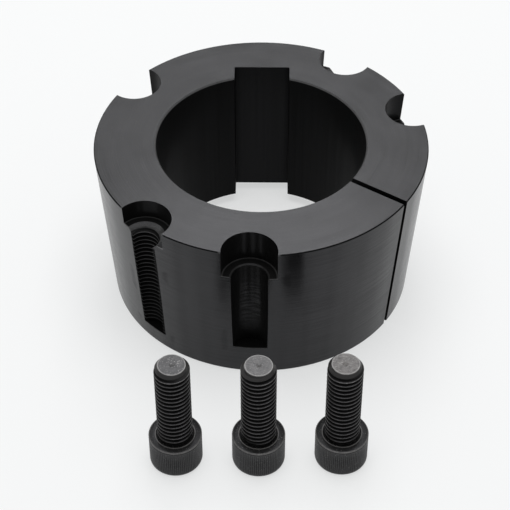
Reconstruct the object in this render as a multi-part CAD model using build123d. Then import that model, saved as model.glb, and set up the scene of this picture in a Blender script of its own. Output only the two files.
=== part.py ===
"""Taper bush: a split, tapered, keywayed bush that clamps a pulley hub on a shaft.

One turned bush, and its three socket-head locking screws standing on their heads
beside it. Millimetres, +Z up. The origin is on the bush's axis at its small end,
and the keyway points along +Y.
"""
from build123d import *
import math
import os

# ---- Bush -----------------------------------------------------------------
BUSH_LENGTH = 65.0
LARGE_END_DIAMETER = 127.0
TAPER_HALF_ANGLE = 4.0            # degrees between the cone's side and the axis
BORE_DIAMETER = 80.0
BORE_EDGE_CHAMFER = 0.5
RIM_CHAMFER = 0.4                 # on the cone's edge at both ends
RECESS_WALL = 7.0                 # ring left round the recess in the small end
RECESS_DEPTH = 3.8

# ---- Keyway, cut along +Y ---------------------------------------------------
KEYWAY_WIDTH = 22.0
KEYWAY_DEPTH = 6.2                # from the bore's wall to the keyway's floor
KEYWAY_CORNER_RADIUS = 0.4

# ---- Saw cut that lets the bush close on the shaft --------------------------
SAW_CUT_WIDTH = 2.2
SAW_CUT_ANGLE = 326.3             # degrees round the axis from +X

# ---- Screws: one size locks the bush, and jacks it out ----------------------
SCREW_THREAD_DIAMETER = 12.6
SCREW_LENGTH = 36.0               # under the head
SCREW_TIP_DIAMETER = 9.6
SCREW_TIP_LENGTH = 2.1
SCREW_HEAD_DIAMETER = 19.05
SCREW_HEAD_HEIGHT = 13.0
SCREW_HEAD_ROUND = 1.1            # at the wrench end
SCREW_HEAD_CHAMFER = 0.35         # at the bearing face
SCREW_NECK_FILLET = 0.6
SOCKET_ACROSS_FLATS = 9.5
SOCKET_DEPTH = 6.5
SOCKET_POINT_ANGLE = 120.0        # degrees across the drilled cone in the socket

# ---- Half-holes in the cone's side, open to the large end -------------------
HOLE_INSET = 2.0                  # hole centres inside the large end's edge
HEAD_CLEARANCE = 1.4              # counterbore over screw head, on diameter
LOCKING_ANGLES = (18.6, 144.8, 266.6)
LOCKING_CLEARANCE = 0.9           # plain half-hole over thread, on diameter
LOCKING_COUNTERBORE_DEPTH = 12.5
LOCKING_FLOOR = 13.7              # left under the half-hole
LOCKING_MOUTH_CHAMFER = 0.5
JACKING_ANGLES = (57.2, 227.0)
JACKING_COUNTERBORE_DEPTH = 7.7
JACKING_FLOOR = 7.0
JACKING_MOUTH_CHAMFER = 1.2       # lead-in for the thread

# ---- Screws set out in a row in front of the bush ---------------------------
SCREW_ROW_GAP = 37.0              # from the large end's edge to the row's centres
SCREW_SPACING = 29.7
RIGHT_SCREW_SET_BACK = 1.1        # set down by hand, a little nearer the bush

# ---- Derived ----------------------------------------------------------------
large_radius = LARGE_END_DIAMETER / 2
bore_radius = BORE_DIAMETER / 2
cone_slope = math.tan(math.radians(TAPER_HALF_ANGLE))
small_radius = large_radius - BUSH_LENGTH * cone_slope
recess_radius = small_radius - RECESS_WALL
hole_centre_radius = large_radius - HOLE_INSET
counterbore_radius = (SCREW_HEAD_DIAMETER + HEAD_CLEARANCE) / 2
beyond = LARGE_END_DIAMETER       # long enough to cut right through


def turned(points):
    """Turn a closed outline of (radius, height) points about the Z axis."""
    outline = Polyline(*[(radius, 0, height) for radius, height in points], close=True)
    return revolve(make_face(outline), Axis.Z)


def at_angle(shape, radius, degrees):
    """Set a shape, made on the Z axis, at a radius and an angle round the bush."""
    return Rot(0, 0, degrees) * Pos(radius, 0, 0) * shape


def bush_blank():
    """The turned blank: cone, bore, recessed small end and broken edges."""
    rim_inset = RIM_CHAMFER * cone_slope
    return turned([
        (bore_radius, RECESS_DEPTH + BORE_EDGE_CHAMFER),
        (bore_radius + BORE_EDGE_CHAMFER, RECESS_DEPTH),
        (recess_radius, RECESS_DEPTH),
        (recess_radius, 0),
        (small_radius - RIM_CHAMFER, 0),
        (small_radius + rim_inset, RIM_CHAMFER),
        (large_radius - rim_inset, BUSH_LENGTH - RIM_CHAMFER),
        (large_radius - RIM_CHAMFER, BUSH_LENGTH),
        (bore_radius + BORE_EDGE_CHAMFER, BUSH_LENGTH),
        (bore_radius, BUSH_LENGTH - BORE_EDGE_CHAMFER),
    ])


def keyway():
    """Cutter for the keyway, with small rounds along its two inner corners."""
    reach = bore_radius + KEYWAY_DEPTH
    slot = Pos(0, reach / 2, BUSH_LENGTH / 2) * Box(KEYWAY_WIDTH, reach, BUSH_LENGTH * 2)
    inner_corners = slot.edges().filter_by(Axis.Z).group_by(Axis.Y)[-1]
    return fillet(inner_corners, KEYWAY_CORNER_RADIUS)


def saw_cut():
    """Cutter for the one cut that runs from the bore out through the cone."""
    blade = Pos(beyond / 2, 0, BUSH_LENGTH / 2) * Box(beyond, SAW_CUT_WIDTH, BUSH_LENGTH * 2)
    return Rot(0, 0, SAW_CUT_ANGLE) * blade


def half_hole(hole_radius, counterbore_depth, floor, mouth_chamfer):
    """Cutter for a blind, counterbored hole, turned about its own axis."""
    ledge = BUSH_LENGTH - counterbore_depth
    return turned([
        (0, floor),
        (hole_radius, floor),
        (hole_radius, ledge - mouth_chamfer),
        (hole_radius + mouth_chamfer, ledge),
        (counterbore_radius, ledge),
        (counterbore_radius, BUSH_LENGTH * 2),
        (0, BUSH_LENGTH * 2),
    ])


def taper_bush():
    """The bush, one piece: its blank less the keyway, the cut and the half-holes."""
    locking = half_hole((SCREW_THREAD_DIAMETER + LOCKING_CLEARANCE) / 2,
                        LOCKING_COUNTERBORE_DEPTH, LOCKING_FLOOR, LOCKING_MOUTH_CHAMFER)
    jacking = half_hole(SCREW_THREAD_DIAMETER / 2,
                        JACKING_COUNTERBORE_DEPTH, JACKING_FLOOR, JACKING_MOUTH_CHAMFER)
    bush = bush_blank() - keyway() - saw_cut()
    for degrees in LOCKING_ANGLES:
        bush -= at_angle(locking, hole_centre_radius, degrees)
    for degrees in JACKING_ANGLES:
        bush -= at_angle(jacking, hole_centre_radius, degrees)
    return bush


def hex_socket():
    """Cutter for the hexagon socket, open downwards, with its drilled cone."""
    circumradius = SOCKET_ACROSS_FLATS / math.sqrt(3)
    flat_radius = SOCKET_ACROSS_FLATS / 2
    cone_depth = flat_radius / math.tan(math.radians(SOCKET_POINT_ANGLE / 2))
    prism = extrude(RegularPolygon(circumradius, 6), SOCKET_DEPTH)
    point = Pos(0, 0, SOCKET_DEPTH + cone_depth / 2) * Cone(flat_radius, 0, cone_depth)
    return prism + point


def cap_screw():
    """A socket-head cap screw standing on its head, its thread left plain."""
    head_radius = SCREW_HEAD_DIAMETER / 2
    shank_radius = SCREW_THREAD_DIAMETER / 2
    top = SCREW_HEAD_HEIGHT + SCREW_LENGTH
    head = Pos(0, 0, SCREW_HEAD_HEIGHT / 2) * Cylinder(head_radius, SCREW_HEAD_HEIGHT)
    head = fillet(head.edges().group_by(Axis.Z)[0], SCREW_HEAD_ROUND)
    head = chamfer(head.edges().group_by(Axis.Z)[-1], SCREW_HEAD_CHAMFER)
    shank = turned([
        (0, SCREW_HEAD_HEIGHT),
        (shank_radius + SCREW_NECK_FILLET, SCREW_HEAD_HEIGHT),
        (shank_radius, SCREW_HEAD_HEIGHT + SCREW_NECK_FILLET),
        (shank_radius, top - SCREW_TIP_LENGTH),
        (SCREW_TIP_DIAMETER / 2, top),
        (0, top),
    ])
    return head + shank - hex_socket()


def locking_screws():
    """The three screws in their row, by node name."""
    row = -(large_radius + SCREW_ROW_GAP)
    places = {
        "left": (-SCREW_SPACING, row),
        "middle": (0, row),
        "right": (SCREW_SPACING, row + RIGHT_SCREW_SET_BACK),
    }
    return {f"cap_screw_{side}": Pos(*place, 0) * cap_screw() for side, place in places.items()}


nodes = {"taper_bush": taper_bush(), **locking_screws()}
os.makedirs("parts", exist_ok=True)
for name, shape in nodes.items():
    export_step(shape, f"parts/{name}.step")
    print(name, "solids", len(shape.solids()), "volume", round(shape.volume, 1), "mm3")
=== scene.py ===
# %% [markdown]
# # A taper bush and its three screws
#
# A taper bush is a split, tapered iron sleeve that clamps a pulley on a shaft. Its blank
# is turned, bored and faced in a lathe, and then blackened all over. Three socket-head
# screws stand on their heads beside it. The solids come from CAD, so this lesson never
# measures anything again: it loads them, keeps the solid whose shape is already right,
# and builds only what a plain solid leaves out.

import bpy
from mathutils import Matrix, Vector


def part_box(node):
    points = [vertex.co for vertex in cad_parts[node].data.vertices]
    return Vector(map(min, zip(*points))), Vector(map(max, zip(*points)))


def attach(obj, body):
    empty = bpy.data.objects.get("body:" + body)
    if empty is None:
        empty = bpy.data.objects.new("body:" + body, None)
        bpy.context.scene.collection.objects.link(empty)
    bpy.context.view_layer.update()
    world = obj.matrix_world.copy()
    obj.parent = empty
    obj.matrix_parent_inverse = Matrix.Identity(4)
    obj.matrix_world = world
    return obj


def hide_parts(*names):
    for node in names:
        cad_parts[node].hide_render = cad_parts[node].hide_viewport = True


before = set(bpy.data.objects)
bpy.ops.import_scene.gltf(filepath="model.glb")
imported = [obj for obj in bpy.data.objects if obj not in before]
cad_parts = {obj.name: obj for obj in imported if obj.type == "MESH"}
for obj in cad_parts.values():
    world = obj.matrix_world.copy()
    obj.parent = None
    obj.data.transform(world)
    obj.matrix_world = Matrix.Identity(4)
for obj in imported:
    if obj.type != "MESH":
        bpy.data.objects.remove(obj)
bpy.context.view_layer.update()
print("CAD nodes:", sorted(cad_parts))

# %% Tools for meshes, and the unit
import math

import bmesh
import bpy
from mathutils import Matrix, Vector

MM = 0.001
bush_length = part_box("taper_bush")[1].z
print("bush length in mm:", round(bush_length / MM, 2))

# %% [markdown]
# ## Writing a finish as a sum
#
# A material in Blender is a graph of nodes. Twenty Math nodes drawn by hand are hard to
# read, and a Python expression says the same in a line. The class below wraps one output
# of a node. Adding or multiplying two of them adds the Math node that does it, and every
# other kind of node comes from the one method `node`.


# %% Wire: one node output that can be calculated with
class Wire:
    """One output of a node in a material, with the sums that can be made from it."""

    def __init__(self, tree, socket=None):
        self.tree = tree
        self.socket = socket

    def node(self, kind, settings=None, sockets=None, out=0):
        """Add a node: its settings first, then the values or links of its sockets."""
        made = self.tree.nodes.new(kind)
        for key, value in (settings or {}).items():
            setattr(made, key, value)
        for key, value in (sockets or {}).items():
            if isinstance(value, Wire):
                self.tree.links.new(value.socket, made.inputs[key])
            else:
                made.inputs[key].default_value = value
        return Wire(self.tree, made.outputs[out] if made.outputs else None)

    def maths(self, operation, *values):
        return self.node("ShaderNodeMath", {"operation": operation}, dict(enumerate(values)))

    def __add__(self, other):
        return self.maths("ADD", self, other)

    def __sub__(self, other):
        return self.maths("SUBTRACT", self, other)

    def __rsub__(self, other):
        return self.maths("SUBTRACT", other, self)

    def __mul__(self, other):
        return self.maths("MULTIPLY", self, other)

    def __abs__(self):
        return self.maths("ABSOLUTE", self)

    __radd__ = __add__
    __rmul__ = __mul__

    def rise(self, low, high):
        """0 below low, 1 above high, and a straight slope between them."""
        return self.node("ShaderNodeMapRange", {}, {"Value": self, "From Min": low, "From Max": high})

    def near(self, centre, reach):
        """1 at centre, falling to 0 at reach on either side of it."""
        return 1 - abs(self - centre).rise(0, reach)

    def parts(self):
        """The x, y and z of a vector."""
        split = self.node("ShaderNodeSeparateXYZ", {}, {0: self})
        outputs = split.socket.node.outputs
        return [Wire(self.tree, outputs[i]) for i in range(3)]


# %% Helpers that every finish uses
def grey(value, warmth=0.0):
    """A grey as a colour, a little warmer or, below zero, a little cooler."""
    return (value * (1 + warmth), value, value * (1 - warmth), 1.0)


def new_finish(name):
    """An empty material, and the wire that its graph starts from."""
    material = bpy.data.materials.new(name)
    material.use_nodes = True
    material.node_tree.nodes.clear()
    return material, Wire(material.node_tree)


def mix(factor, first, second):
    """Blend two colours, of which either may be a wire."""
    return factor.node("ShaderNodeMix", {"data_type": "RGBA"}, {0: factor, 6: first, 7: second}, out=2)


def grain(start, x, y, z, detail=2.0, roughness=0.5):
    """Noise read at a place given by three numbers, so that it can be stretched any way."""
    place = start.node("ShaderNodeCombineXYZ", {}, {0: x, 1: y, 2: z})
    return start.node("ShaderNodeTexNoise", {}, {
        "Vector": place, "Scale": 1.0, "Detail": detail, "Roughness": roughness})


def tinted(skin, shade):
    """A colour made lighter or darker by a number."""
    strength = shade.node("ShaderNodeCombineXYZ", {}, {0: shade, 1: shade, 2: shade})
    return skin.node("ShaderNodeMix", {"data_type": "RGBA", "blend_type": "MULTIPLY"},
                     {0: 1.0, 6: skin, 7: strength}, out=2)


def steel_shader(start, colour, roughness, oil, height, relief, oil_roughness, lay=0.0):
    """The blackened surface: a dull black skin, and where oil lies on it a glossier one.

    lay is how strongly the tool marks, which run round the axis, draw a reflection out."""
    bump = start.node("ShaderNodeBump", {}, {"Strength": 1.0, "Distance": relief, "Height": height})
    dull = start.node("ShaderNodeBsdfPrincipled", {}, {
        "Base Color": colour, "Roughness": roughness, "Normal": bump, "Specular IOR Level": 0.06})
    oiled = start.node("ShaderNodeBsdfPrincipled", {}, {
        "Base Color": colour, "Roughness": oil_roughness, "Normal": bump, "IOR": 1.40,
        "Anisotropic": lay, "Anisotropic Rotation": 0.25, "Specular Tint": (0.94, 0.94, 1.0, 1.0)})
    skin = start.node("ShaderNodeMixShader", {}, {0: oil.rise(0, 1), 1: dull, 2: oiled})
    start.node("ShaderNodeOutputMaterial", {}, {"Surface": skin})


# %% [markdown]
# ## The bush's blackened iron
#
# The bush is one solid, but a lathe, a drill and a saw each leave their own surface on
# it. Painting each face by hand would break as soon as the CAD changed. Here the graph
# finds the faces by itself: it knows how far a point is from the bush's axis and from
# the half-holes' axes, how high it is, and which way it faces. The faced end gets rings
# round the axis, the cone gets fine feed lines, and the bored and drilled surfaces stay dull.

# %% The bush's driving values, and where its half-holes are
LARGE_RADIUS = 63.5 * MM
CONE_SLOPE = math.tan(math.radians(4.0))
BORE_RADIUS = 40.0 * MM
HOLE_CENTRES = LARGE_RADIUS - 2.0 * MM
COUNTERBORE_RADIUS = 10.225 * MM
LOCKING_ANGLES = (18.6, 144.8, 266.6)
JACKING_FRONT_ANGLE = 227.0
JACKING_REAR_ANGLE = 57.2
hole_angles = [math.radians(a) for a in (*LOCKING_ANGLES, JACKING_FRONT_ANGLE, JACKING_REAR_ANGLE)]
hole_axes = [(HOLE_CENTRES * math.cos(a), HOLE_CENTRES * math.sin(a)) for a in hole_angles]
print("half-holes:", len(hole_axes))


# %% Distance to the nearest half-hole's axis
def gap_to_hole(x, y):
    """How far a point is from the axis of the half-hole nearest to it."""
    nearest = None
    for hole_x, hole_y in hole_axes:
        across, along = x - hole_x, y - hole_y
        gap = across.maths("SQRT", across * across + along * along)
        nearest = gap if nearest is None else gap.maths("MINIMUM", gap, nearest)
    return nearest


# %% Blackened iron
def blackened_iron():
    """The bush's finish, which finds the faced end, the cone and the bored faces."""
    material, start = new_finish("blackened_iron")
    place = start.node("ShaderNodeTexCoord", out="Object")
    facing = start.node("ShaderNodeTexCoord", out="Normal")
    x, y, z = place.parts()
    facing_x, facing_y, up = facing.parts()
    radius = x.maths("SQRT", x * x + y * y)
    turn = y.maths("ARCTAN2", y, x)

    to_hole = gap_to_hole(x, y)

    faced = up.rise(0.9, 0.97) * z.rise(bush_length - 0.3 * MM, bush_length - 0.1 * MM)
    cone_gap = abs(radius - (LARGE_RADIUS - bush_length * CONE_SLOPE + z * CONE_SLOPE))
    on_cone = (1 - cone_gap.rise(0.06 * MM, 0.14 * MM)) * (1 - faced) * (1 - up.rise(0.2, 0.4))
    open_face = faced + on_cone
    in_hole = (1 - open_face) * (1 - to_hole.rise(10.5 * MM, 11.5 * MM))
    in_bore = (1 - open_face) * (1 - radius.rise(BORE_RADIUS + 7 * MM, BORE_RADIUS + 8 * MM))
    # Edges and chamfers that are made lighter below as a painted highlight.
    rim = up.near(0.7, 0.28) * z.rise(bush_length - 0.7 * MM, bush_length - 0.45 * MM)
    bore_rim = rim * (1 - radius.rise(BORE_RADIUS + 1 * MM, BORE_RADIUS + 2 * MM))
    ledge = in_hole * up.rise(0.9, 0.97)
    jack_mouth = in_hole * up.near(0.7, 0.3) * z.rise(55.4 * MM, 56.0 * MM)
    corner_highlight = in_hole * up.rise(0.6, 0.9) * (1 - cone_gap.rise(0.15 * MM, 0.4 * MM))
    ledge_root = ledge * to_hole.near(COUNTERBORE_RADIUS - 0.25 * MM, 0.45 * MM)
    hole_mouth = in_hole * up.near(0.7, 0.25)

    rings = grain(start, radius * 2600, turn * 1.3, 0, 3.0, 0.65)
    wide_rings = grain(start, radius * 420, turn * 2.2, 3.0, 2.0)
    feed = grain(start, z * 1700, turn * 2.0, 7.0, 2.0, 0.5)
    chatter = grain(start, turn * 34, z * 9, 2.0, 2.0)
    drill = grain(start, z * 1500, turn * 20, 11.0, 2.0)
    cloud = grain(start, x * 75, y * 75, z * 75, 4.0, 0.6)
    band = grain(start, turn * 9.0, z * 5, 21.0, 1.0)
    speck = grain(start, x * 2300, y * 2300, z * 2300, 2.0, 0.7)

    inward = (facing_x * x + facing_y * y) * radius.maths("DIVIDE", 1.0, radius)
    hole_rings = grain(start, z * 1150, 5.0, turn * 8, 1.0).rise(0.45, 0.6)
    drilled = z.rise(20 * MM, 27 * MM) * (1 - z.rise(40 * MM, 47 * MM))
    hole_band = inward.rise(0.7, 0.95) * (0.06 + 0.30 * hole_rings * drilled)
    counterbored = (1 - up.rise(0.1, 0.3)) * to_hole.near(COUNTERBORE_RADIUS, 0.3 * MM)
    keyway_floor = 0.14 * y.rise(BORE_RADIUS + 5.8 * MM, BORE_RADIUS + 6.0 * MM)

    turned = faced * (0.66 * rings + 0.34 * wide_rings) + on_cone * feed
    tool_marks = turned + in_hole * drill + in_bore * chatter
    shade = 0.40 + 0.42 * cloud + 0.75 * tool_marks + 0.14 * speck

    skin = mix(faced, grey(0.0030, -0.08), grey(0.019, -0.02))
    skin = mix(in_hole + in_bore * 0.6, skin, grey(0.0030, 0.0))
    skin = mix(speck.rise(0.66, 0.8) * 0.3 * open_face, skin, grey(0.09, 0.02))
    # Painted highlight: the bore's rim, the ledges' inner edge, the holes' mouths, the jacking holes'
    # lead-in and the corners where the holes meet the cone are made lighter, and glossier through the oil
    # below.
    skin = mix(bore_rim * 0.5 + ledge_root * 0.4 + hole_mouth * 0.15 + jack_mouth * 0.55 * speck
               + corner_highlight * 0.6, skin, grey(0.10, 0.0))
    colour = tinted(skin, shade)

    roughness = 0.48 + 0.10 * cloud + 0.08 * speck
    oil_roughness = 0.17 + 0.05 * cloud + 0.03 * faced
    oil = (faced * (0.30 + 0.35 * cloud + 0.80 * (turned - 0.15))
           + on_cone * (0.36 + 0.2 * cloud + 0.5 * feed + 0.4 * band)
           + in_hole * (0.01 + 0.16 * drill + hole_band + 0.10 * counterbored)
           + in_bore * (0.01 + 0.12 * chatter + keyway_floor)
           + hole_mouth * 0.25 + jack_mouth * 0.5 + ledge_root * 0.3 + bore_rim * 0.6 + corner_highlight * 0.5)
    height = 0.8 * tool_marks + 0.2 * speck
    steel_shader(start, colour, roughness, oil, height, 0.00005, oil_roughness, lay=0.75)
    return material


bush_finish = blackened_iron()
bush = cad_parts["taper_bush"]
bush.data.materials.clear()
bush.data.materials.append(bush_finish)
for polygon in bush.data.polygons:
    polygon.material_index = 0
print("bush faces:", len(bush.data.polygons))


# %% [markdown]
# ## From points to a piece
#
# Every piece below is a list of points and the faces between them. One helper turns the
# two lists into an object, joins points that fall together, turns the faces outwards,
# and marks the edges that should look sharp.


# %% Make a piece from points and faces
def make_piece(name, points, faces, finish, sharp=40):
    """A closed mesh piece that rides on the root body."""
    mesh = bpy.data.meshes.new(name)
    mesh.from_pydata([tuple(p) for p in points], [], faces)
    work = bmesh.new()
    work.from_mesh(mesh)
    bmesh.ops.remove_doubles(work, verts=work.verts, dist=1e-6)
    bmesh.ops.dissolve_degenerate(work, edges=work.edges, dist=1e-7)
    bmesh.ops.recalc_face_normals(work, faces=work.faces)
    work.to_mesh(mesh)
    work.free()
    mesh.polygons.foreach_set("use_smooth", [True] * len(mesh.polygons))
    mesh.set_sharp_from_angle(angle=math.radians(sharp))
    mesh.materials.append(finish)
    piece = bpy.data.objects.new(name, mesh)
    bpy.context.scene.collection.objects.link(piece)
    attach(piece, "root")
    print(name, "faces:", len(mesh.polygons))
    return piece


def skin_rows(first, row_length, rows):
    """Faces between equally long rows of points, each of which is a closed ring."""
    faces = []
    for row in range(rows - 1):
        low = first + row * row_length
        for i in range(row_length):
            j = (i + 1) % row_length
            faces.append((low + i, low + j, low + row_length + j, low + row_length + i))
    return faces


# %% [markdown]
# ## The thread's shape
#
# Screw and hole share one thread, 60 degrees between its flanks and a pitch just under
# two millimetres. A thread could be a spiral ridge added to a rod, but the joint between
# the two shows. Here the surface itself winds: the rows of points follow the helix, so
# that crest and root stay clean lines. `thread_depth` says how deep the groove is at
# each share of a pitch.

# %% Thread values
PITCH = 1.95 * MM
THREAD_RADIUS = 6.28 * MM
THREAD_DEPTH = 1.15 * MM
CREST_SHARE = 0.12
FLANK_SHARE = 0.33
PHASES = (0.0, 0.06, 0.12, 0.20, 0.29, 0.38, 0.46, 0.54, 0.62, 0.71, 0.80, 0.89)


def thread_depth(phase):
    """0 on the crest and 1 in the root, with the root slightly round."""
    phase = phase % 1.0
    if phase <= CREST_SHARE:
        return 0.0
    flank = min((phase - CREST_SHARE) / FLANK_SHARE, (1.0 - phase) / FLANK_SHARE, 1.0)
    return 1.0 - (1.0 - flank) ** 1.25


print("depth at each phase:", [round(thread_depth(p), 2) for p in PHASES])

# %% [markdown]
# ## The jacking holes' thread
#
# Two of the five half-holes are threaded in the bush, so that a screw turned into them
# pushes the bush out of its hub. Cutting the thread in the CAD solid would make a heavy
# model, so it is a liner here: a thin threaded shell that lies against the plain wall.
# It ends where the cone cuts through the hole, which leaves the saw-toothed edge that a
# half thread has. Near the foot the tap never cut a full thread, so the ridges fade.

# %% Liner for one jacking hole
JACKING_RADIUS = 6.3 * MM
JACKING_FOOT = 7.0 * MM
JACKING_TOP = 56.1 * MM
LINER_BACK = JACKING_RADIUS + 0.25 * MM
LINER_FRONT = JACKING_RADIUS - 0.03 * MM
MEAN_RADIUS = JACKING_RADIUS - 0.6 * MM
LINER_COLUMNS = 40


def cone_limit(hole_radius, z):
    """Angle from the outward direction at which the cone cuts a circle in the hole."""
    reach = LARGE_RADIUS - (bush_length - z) * CONE_SLOPE - 0.015 * MM
    cosine = (reach ** 2 - HOLE_CENTRES ** 2 - hole_radius ** 2) / (2 * HOLE_CENTRES * hole_radius)
    return math.acos(max(-1.0, min(1.0, cosine)))


def liner_point(share, z_start, phase):
    """Radius and height of the thread, share of the way round the hole's open arc."""
    z = z_start
    for _ in range(4):
        limit = cone_limit(MEAN_RADIUS, z)
        angle = limit + share * 2 * (math.pi - limit)
        z = z_start + PITCH * (angle - math.pi) / (2 * math.pi)
        z = min(max(z, JACKING_FOOT), JACKING_TOP)
    fade = min(1.0, max(0.0, (z - JACKING_FOOT - 0.3 * MM) / (1.6 * MM)))
    ridge = THREAD_DEPTH * (1 - thread_depth(phase)) * fade
    lead_in = LINER_FRONT - (JACKING_TOP - z)
    return max(LINER_FRONT - ridge, lead_in), z


def liner(name, degrees):
    """The threaded shell in the jacking hole at that angle round the bush."""
    points, rows = [], 0
    row_length = 2 * LINER_COLUMNS
    turns = int((JACKING_TOP - JACKING_FOOT) / PITCH) + 2
    for turn in range(-1, turns):
        for phase in PHASES:
            z_start = JACKING_FOOT + PITCH * (turn + phase)
            front, back = [], []
            for i in range(LINER_COLUMNS):
                share = i / (LINER_COLUMNS - 1)
                inner, z = liner_point(share, z_start, phase)
                limit = cone_limit(inner, z)
                angle = limit + share * 2 * (math.pi - limit)
                front.append((inner, angle, z))
                limit = cone_limit(LINER_BACK, z)
                back.append((LINER_BACK, limit + share * 2 * (math.pi - limit), z))
            for hole_radius, angle, z in front + back[::-1]:
                points.append((HOLE_CENTRES + hole_radius * math.cos(angle),
                               hole_radius * math.sin(angle), z))
            rows += 1
    faces = skin_rows(0, row_length, rows)
    for first in (0, (rows - 1) * row_length):
        for i in range(LINER_COLUMNS - 1):
            faces.append((first + i, first + i + 1,
                          first + row_length - 2 - i, first + row_length - 1 - i))
    turned = Matrix.Rotation(math.radians(degrees), 3, "Z")
    placed = [turned @ Vector(point) for point in points]
    return make_piece(name, placed, faces, thread_finish, sharp=35)


# %% [markdown]
# ## The thread's finish
#
# The tapped thread is as black as the bush. Its crests are lighter, partly because the screws
# rubbed them and partly as a painted highlight, and they are painted darker deeper in the
# hole as painted shade. The lead-in at the mouth is lighter as a painted reflection. The graph
# measures how far a point is from the hole's axis: near it is a crest, far from it a root.


# %% Tapped iron
def tapped_iron():
    """Blackened iron with crests lighter from wear and as a painted highlight, for the liners."""
    material, start = new_finish("tapped_iron")
    x, y, z = start.node("ShaderNodeTexCoord", out="Object").parts()
    to_hole = gap_to_hole(x, y)
    crest = 1 - to_hole.rise(5.12 * MM, 5.22 * MM)
    lead_in = z.rise(JACKING_TOP - 1.3 * MM, JACKING_TOP - 0.9 * MM)
    cloud = grain(start, x * 260, y * 260, z * 260, 3.0, 0.6)
    speck = grain(start, x * 2300, y * 2300, z * 2300, 2.0, 0.7)
    near_mouth = z.rise(22 * MM, 54 * MM)
    # Crests lighter from wear and as a painted highlight, painted darker deeper in the hole as painted
    # shade, and the lead-in lighter as a painted reflection.
    crest_wear_and_highlight = crest * (0.2 + 0.9 * cloud) * (0.45 + 0.75 * near_mouth) + lead_in * 1.1 * cloud
    colour = mix(crest_wear_and_highlight.rise(0, 1), grey(0.0022), grey(0.075))
    colour = mix(speck.rise(0.62, 0.8) * 0.4 * crest, colour, grey(0.16))
    roughness = 0.52 + 0.12 * cloud
    oil = 0.03 + 0.55 * crest_wear_and_highlight
    steel_shader(start, colour, roughness, oil, cloud + 0.3 * speck, 0.00001, 0.28 + 0.1 * cloud)
    return material


thread_finish = tapped_iron()
liner("jacking_thread_front", JACKING_FRONT_ANGLE)
liner("jacking_thread_rear", JACKING_REAR_ANGLE)

# %% [markdown]
# ## The cap screws
#
# Each screw is a forged and rolled steel part: a knurled head with a hexagon socket, and
# a rolled thread that starts at the bearing face. The CAD solid has a plain rod for the
# thread, so a mesh piece replaces it. Head and shank are both built as rings of points.
# The head's rings take a radius for every angle, and that one idea gives the hexagon,
# the round edges and the knurl.

# %% Screw sizes, from its CAD node
screw_low, screw_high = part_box("cap_screw_middle")
SCREW_TOP = screw_high.z
HEAD_RADIUS = (screw_high.x - screw_low.x) / 2 - 0.01 * MM
HEAD_HEIGHT = 13.0 * MM
HEAD_ROUND = 1.1 * MM
TIP_RADIUS = 4.8 * MM
TIP_LENGTH = 2.1 * MM
SOCKET_FLAT = 4.75 * MM
SOCKET_DEPTH = 6.5 * MM
KNURL_TEETH = 84
KNURL_SHAPE = (0.0, 0.0, 0.55, 1.0, 0.55, 0.0)
KNURL_DEPTH = 0.20 * MM
print("screw height in mm:", round(SCREW_TOP / MM, 2), "head radius:", round(HEAD_RADIUS / MM, 3))


# %% Head of the screw
def hexagon(angle, flat):
    """Radius of a hexagon at an angle, from half its width across flats."""
    return flat / math.cos((angle + math.pi / 6) % (math.pi / 3) - math.pi / 6)


def head_rings():
    """Rows of the head: height, radius at an angle, and share of the knurl's depth."""
    rows = [
        (SOCKET_DEPTH + 0.6 * SOCKET_FLAT, lambda a: 0.02 * MM, 0),
        (SOCKET_DEPTH, lambda a: SOCKET_FLAT * 0.99, 0),
        (SOCKET_DEPTH, lambda a: hexagon(a, SOCKET_FLAT), 0),
        (0.45 * MM, lambda a: hexagon(a, SOCKET_FLAT), 0),
        (0.0, lambda a: SOCKET_FLAT * 1.2, 0),
        (0.0, lambda a: HEAD_RADIUS - 1.3 * MM, 0),
    ]
    for step in range(7):
        bend = math.radians(90 * step / 6)
        inset = HEAD_ROUND * (1 - math.sin(bend))
        rows.append((HEAD_ROUND * (1 - math.cos(bend)), lambda a, i=inset: HEAD_RADIUS - i, 0))
    for height, share in ((1.35, 0), (1.9, 1), (5.0, 1), (8.5, 1), (11.6, 1), (12.0, 0)):
        rows.append((height * MM, lambda a: HEAD_RADIUS, share))
    rim = ((12.1, 0.16), (12.3, 0.18), (12.4, 0.02), (12.68, 0.0), (12.92, 0.22), (13.0, 0.45))
    for height, inset in rim:
        rows.append((height * MM, lambda a, i=inset * MM: HEAD_RADIUS - i, 0))
    for height, ring in ((13.0, 7.0), (12.97, 6.85), (12.55, 6.7), (12.45, 6.0), (12.45, 0.02)):
        rows.append((height * MM, lambda a, r=ring * MM: r, 0))
    return rows


def screw_head():
    """Points and faces of the knurled head."""
    columns = KNURL_TEETH * len(KNURL_SHAPE)
    points = []
    rows = head_rings()
    for height, radius_at, knurl in rows:
        for i in range(columns):
            angle = 2 * math.pi * i / columns
            tooth = KNURL_SHAPE[i % len(KNURL_SHAPE)]
            radius = radius_at(angle) - KNURL_DEPTH * knurl * tooth
            points.append((radius * math.cos(angle), radius * math.sin(angle), height))
    faces = skin_rows(0, columns, len(rows))
    last = (len(rows) - 1) * columns
    faces.append(tuple(range(columns))[::-1])
    faces.append(tuple(range(last, last + columns)))
    return points, faces


head_points, head_faces = screw_head()
print("head points:", len(head_points))


# %% Threaded shank of the screw
SHANK_COLUMNS = 96


def shank_radius(z, phase):
    """Radius of the shank: thread, neck under the head, and cone at the tip."""
    neck = HEAD_HEIGHT + 0.9 * MM
    cut = min(1.0, max(0.0, (z - neck) / (1.2 * MM)))
    radius = THREAD_RADIUS - THREAD_DEPTH * thread_depth(phase) * cut
    below = min(1.0, max(0.0, (z - neck) / (0.6 * MM)))
    radius = min(radius, 5.75 * MM + 0.6 * MM * below)
    tip_slope = (JACKING_RADIUS - TIP_RADIUS) / TIP_LENGTH
    return min(radius, TIP_RADIUS + (SCREW_TOP - z) * tip_slope)


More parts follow.
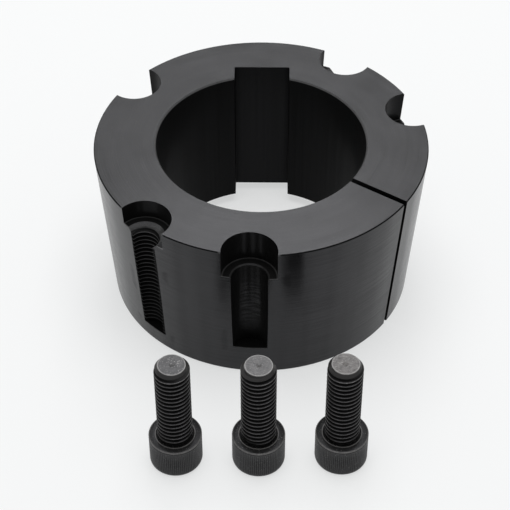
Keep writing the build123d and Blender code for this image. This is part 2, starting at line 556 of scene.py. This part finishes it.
def screw_shank():
    """Points and faces of the thread, wound as one long strip, with both ends closed."""
    points, faces = [], []
    foot = HEAD_HEIGHT - 0.7 * MM
    turns = int((SCREW_TOP - foot) / PITCH) + 2
    per_turn = len(PHASES)
    for i in range(turns * SHANK_COLUMNS + 1):
        angle = 2 * math.pi * i / SHANK_COLUMNS
        for phase in PHASES:
            z = foot - PITCH + PITCH * (i / SHANK_COLUMNS + phase)
            z = min(max(z, foot), SCREW_TOP)
            radius = shank_radius(z, phase)
            points.append((radius * math.cos(angle), radius * math.sin(angle), z))
    steps = turns * SHANK_COLUMNS
    for i in range(steps):
        for j in range(per_turn):
            if j + 1 < per_turn:
                here, above = i * per_turn + j, i * per_turn + j + 1
            elif i + SHANK_COLUMNS + 1 <= steps:
                here, above = i * per_turn + j, (i + SHANK_COLUMNS) * per_turn
            else:
                continue
            faces.append((here, here + per_turn, above + per_turn, above))
    first = len(points)
    rings = ((TIP_RADIUS, 0.0), (4.0 * MM, 0.0), (2.6 * MM, 0.01), (1.2 * MM, 0.02),
             (0.7 * MM, 0.05), (0.35 * MM, 0.22), (0.02 * MM, 0.3))
    for radius, dip in rings:
        for i in range(SHANK_COLUMNS):
            angle = 2 * math.pi * i / SHANK_COLUMNS
            points.append((radius * math.cos(angle), radius * math.sin(angle), SCREW_TOP - dip * MM))
    faces += skin_rows(first, SHANK_COLUMNS, len(rings))
    last = first + (len(rings) - 1) * SHANK_COLUMNS
    faces.append(tuple(range(last, last + SHANK_COLUMNS)))
    root = len(points)
    for i in range(SHANK_COLUMNS):
        angle = 2 * math.pi * i / SHANK_COLUMNS
        radius = shank_radius(foot, 0)
        points.append((radius * math.cos(angle), radius * math.sin(angle), foot))
    faces.append(tuple(range(root, root + SHANK_COLUMNS)))
    return points, faces


shank_points, shank_faces = screw_shank()
print("shank points:", len(shank_points))


# %% [markdown]
# ## The screws' black steel
#
# The screws are oiled black steel. The flat of the tip has pressed against the hub and
# is rubbed bare, more on one screw than on another. The crests are lighter than the roots,
# partly from wear and partly as a painted highlight, and the roots and the groove under
# the head are darkened as painted shade. The light lines round the tip's edge, the bearing
# face and the head's rim are painted highlights. Each screw gets its own copy of the
# finish, with its own share of wear and its own place in the noise, because three equal
# screws would look copied.


# %% Black screw steel
def screw_steel(name, tip_grey, tip_warmth, mottle, seed):
    """Oiled black steel with a rubbed tip, for one screw."""
    material, start = new_finish(name)
    x, y, z = start.node("ShaderNodeTexCoord", out="Object").parts()
    up = start.node("ShaderNodeTexCoord", out="Normal").parts()[2]
    radius = x.maths("SQRT", x * x + y * y)
    cloud = grain(start, x * 520 + seed, y * 520, z * 520, 4.0, 0.65)
    fine = grain(start, x * 1500, y * 1500 + seed, z * 1500, 3.0, 0.65)
    nick = grain(start, x * 2600, y * 2600, z * 2600 + seed, 1.0, 0.5)

    tip = z.rise(SCREW_TOP - 0.4 * MM, SCREW_TOP - 0.25 * MM) * up.rise(0.5, 0.8)
    tip_edge = z.rise(SCREW_TOP - 0.25 * MM, SCREW_TOP - 0.1 * MM) * radius.near(TIP_RADIUS, 0.38 * MM)
    on_shank = z.rise(HEAD_HEIGHT + 0.2 * MM, HEAD_HEIGHT + 0.6 * MM) * (1 - tip)
    crest = on_shank * radius.rise(THREAD_RADIUS - 0.16 * MM, THREAD_RADIUS - 0.03 * MM)
    root = on_shank * (1 - radius.rise(THREAD_RADIUS - 0.45 * MM, THREAD_RADIUS - 0.12 * MM))
    point = z.rise(SCREW_TOP - 2.5 * MM, SCREW_TOP - 2.0 * MM) * (1 - tip)
    root = root * (1 - 0.75 * point)
    neck_shade = z.near(HEAD_HEIGHT - 0.35 * MM, 0.3 * MM) * (1 - radius.rise(6.6 * MM, 6.85 * MM))
    lead = crest * z.rise(SCREW_TOP - 4.6 * MM, SCREW_TOP - 3.6 * MM)
    on_head = 1 - z.rise(HEAD_HEIGHT + 0.05 * MM, HEAD_HEIGHT + 0.2 * MM)
    bearing = on_head * up.rise(0.8, 0.95)
    bearing_ring = bearing * radius.near(7.05 * MM, 0.3 * MM)
    rim = on_head * z.rise(HEAD_HEIGHT - 0.7 * MM, HEAD_HEIGHT - 0.4 * MM) \
        * radius.rise(HEAD_RADIUS - 0.5 * MM, HEAD_RADIUS - 0.2 * MM)
    knurl = on_head * radius.rise(HEAD_RADIUS - 0.14 * MM, HEAD_RADIUS - 0.03 * MM) * (1 - rim)

    # Crests lighter, partly wear and partly a painted highlight.
    skin = mix(crest * (0.1 + 1.2 * cloud), grey(0.012), grey(0.062, 0.04))
    # Painted shade: the thread's roots and the groove under the head are darkened.
    skin = mix((root + neck_shade).rise(0, 1), skin, grey(0.0022))
    skin = mix(lead * 0.7 * cloud.rise(0.35, 0.6), skin, grey(0.14, 0.03))
    skin = mix(knurl * 0.6, skin, grey(0.048))
    skin = mix(point * 0.6, skin, grey(0.030, 0.05))
    scuffs = grain(start, x * 900 + seed, y * 2600, 3.0, 3.0, 0.7)
    bare = mix((0.5 * cloud + 0.5 * scuffs).rise(0.5 - mottle, 0.5 + mottle),
               grey(tip_grey * 0.35, tip_warmth * 2), grey(tip_grey * 1.35, tip_warmth))
    skin = mix(tip, skin, bare)
    # Painted highlights: light lines round the tip's edge, on the ring of the bearing face and on the
    # head's rim.
    edge_highlights = tip_edge * (0.25 + 0.9 * fine) + bearing_ring * 0.4 + rim * 0.6 * fine
    skin = mix(edge_highlights.rise(0, 1), skin, grey(0.40, 0.02))
    skin = mix(nick.rise(0.66, 0.76) * (tip + 0.4 * on_head + 0.5 * crest), skin, grey(0.38, 0.02))
    shade = 0.72 + 0.3 * cloud + 0.26 * fine
    colour = tinted(skin, shade)
    roughness = 0.44 + 0.16 * fine
    oil = 0.42 + 0.4 * crest + 0.45 * tip + 0.25 * knurl - 0.40 * root - 0.4 * neck_shade + 0.2 * point
    height = 0.6 * fine + 0.4 * cloud
    steel_shader(start, colour, roughness, oil, height, 0.00003, 0.24 + 0.12 * fine)
    return material


# %% Build the three screws in their places
# The tip's grey and warmth, the reach of its mottle, and the screw's turn in radians,
# which also picks its place in the noise.
SCREW_WEAR = {
    "cap_screw_left": (0.060, 0.01, 0.16, 3.1),
    "cap_screw_middle": (0.100, 0.02, 0.13, 17.7),
    "cap_screw_right": (0.130, 0.05, 0.12, 41.3),
}
shift = len(head_points)
screw_points = head_points + shank_points
screw_faces = head_faces + [tuple(shift + i for i in face) for face in shank_faces]


def screw(node, wear):
    """One screw piece that stands where its CAD node stands, turned by its own angle."""
    tip_grey, tip_warmth, mottle, turn = wear
    low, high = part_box(node)
    finish = screw_steel(node + "_steel", tip_grey, tip_warmth, mottle, turn)
    turned = Matrix.Rotation(turn, 3, "Z")
    points = [turned @ Vector(point) for point in screw_points]
    piece = make_piece(node + "_threaded", points, screw_faces, finish)
    piece.location = ((low.x + high.x) / 2, (low.y + high.y) / 2, low.z)
    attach(piece, "root")
    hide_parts(node)
    return piece


for node, wear in SCREW_WEAR.items():
    screw(node, wear)

# %% [markdown]
# ## Floor and light
#
# The set stands on a seamless white table. The world is an even white sky, so that the
# black faces have something pale to reflect, and two large soft lamps lift the faced end
# and draw the shadow together under the bush. The floor is one very large sheet, so that
# no edge of it shows in a reflection.


# %% What is seen directly, or in a gloss
def seen_directly(start):
    """1 for what the eye sees straight or mirrored, and 0 for light that only bounces."""
    kinds = ("Is Camera Ray", "Is Glossy Ray", "Is Transmission Ray")
    seen = [start.node("ShaderNodeLightPath", out=kind) for kind in kinds]
    return (seen[0] + seen[1] + seen[2]).rise(0, 1)


# %% White floor
FLOOR_HALF = 6.0
FLOOR_DROP = 0.02 * MM
GLOW_SHARE = 0.60


def white_sheet():
    """Matt white paper with a hardly visible tone."""
    material, start = new_finish("white_sheet")
    x, y, z = start.node("ShaderNodeTexCoord", out="Object").parts()
    cloud = grain(start, x * 3, y * 3, z, 2.0)
    tooth = grain(start, x * 900, y * 900, z, 2.0)
    colour = mix(cloud, (0.915, 0.922, 0.930, 1.0), (0.932, 0.938, 0.940, 1.0))
    bump = start.node("ShaderNodeBump", {}, {"Distance": 0.00002, "Height": tooth})
    paper = start.node("ShaderNodeBsdfPrincipled", {}, {
        "Base Color": colour, "Roughness": 0.75, "Specular IOR Level": 0.1, "Normal": bump})
    glow = start.node("ShaderNodeEmission", {}, {"Color": (0.98, 0.99, 0.99, 1.0), "Strength": 0.97})
    shown = seen_directly(start) * GLOW_SHARE
    white = start.node("ShaderNodeMixShader", {}, {0: shown, 1: paper, 2: glow})
    start.node("ShaderNodeOutputMaterial", {}, {"Surface": white})
    return material


sheet_mesh = bpy.data.meshes.new("floor")
corners = [(FLOOR_HALF * across, FLOOR_HALF * along, 0)
           for across, along in ((-1, -1), (1, -1), (1, 1), (-1, 1))]
sheet_mesh.from_pydata(corners, [], [(0, 1, 2, 3)])
sheet_mesh.materials.append(white_sheet())
floor = bpy.data.objects.new("floor", sheet_mesh)
floor.location.z = -FLOOR_DROP
bpy.context.scene.collection.objects.link(floor)
print("floor is", 2 * FLOOR_HALF, "m wide")

# %% Even white world
SKY_STRENGTH = 0.35
world = bpy.data.worlds.new("studio")
bpy.context.scene.world = world
world.use_nodes = True
world.node_tree.nodes.clear()
sky = Wire(world.node_tree)
seen = seen_directly(sky)
soft_sky = sky.node("ShaderNodeBackground", {}, {"Color": grey(1.0), "Strength": SKY_STRENGTH})
white_sky = sky.node("ShaderNodeBackground", {}, {"Color": grey(1.0), "Strength": 1.0})
both = sky.node("ShaderNodeMixShader", {}, {0: seen, 1: soft_sky, 2: white_sky})
sky.node("ShaderNodeOutputWorld", {}, {"Surface": both})
print("sky strength:", SKY_STRENGTH)


# %% Soft lamps
def soft_lamp(name, place, aim, size, watts):
    """A square lamp that looks from its place at a point."""
    data = bpy.data.lights.new(name, "AREA")
    data.shape = "SQUARE"
    data.size = size
    data.energy = watts
    lamp = bpy.data.objects.new(name, data)
    lamp.location = place
    lamp.rotation_euler = (Vector(aim) - Vector(place)).to_track_quat("-Z", "Y").to_euler()
    bpy.context.scene.collection.objects.link(lamp)
    return lamp


lamps = [
    soft_lamp("lamp_behind", place=(0.0, 0.56, 0.72), aim=(0, 0, 0.05), size=0.30, watts=1.2),
    soft_lamp("lamp_above", place=(0.0, 0.10, 1.20), aim=(0, 0, 0.0), size=0.90, watts=9.5),
]
print("watts:", {lamp.name: round(lamp.data.energy, 2) for lamp in lamps})

# %% [markdown]
# ## Camera
#
# The camera looks down on the set from the front with a long lens. Its place, its turn
# and its lens are set as numbers, and the matrix is made from the three directions that
# a camera has: to the right, up, and backwards.

# %% Camera
CAMERA_PLACE = Vector((3.0 * MM, -453.6 * MM, 437.8 * MM))
CAMERA_TURN = math.radians(-0.68)
CAMERA_TILT = math.radians(43.66)
CAMERA_ROLL = math.radians(-0.08)
ahead = Vector((math.sin(CAMERA_TURN) * math.cos(CAMERA_TILT),
                math.cos(CAMERA_TURN) * math.cos(CAMERA_TILT), -math.sin(CAMERA_TILT)))
level = Vector((math.cos(CAMERA_TURN), -math.sin(CAMERA_TURN), 0))
above = level.cross(ahead)
right = math.cos(CAMERA_ROLL) * level + math.sin(CAMERA_ROLL) * above
top = -math.sin(CAMERA_ROLL) * level + math.cos(CAMERA_ROLL) * above
lens = bpy.data.cameras.new("camera")
lens.sensor_width = 36
lens.lens = 108.85
lens.clip_start = 0.01
camera = bpy.data.objects.new("camera", lens)
camera.matrix_world = Matrix.Translation(CAMERA_PLACE) @ Matrix((right, top, -ahead)).transposed().to_4x4()
bpy.context.scene.collection.objects.link(camera)
bpy.context.scene.camera = camera
bpy.context.scene.view_settings.view_transform = "Standard"
print("camera at", [round(v, 4) for v in CAMERA_PLACE])
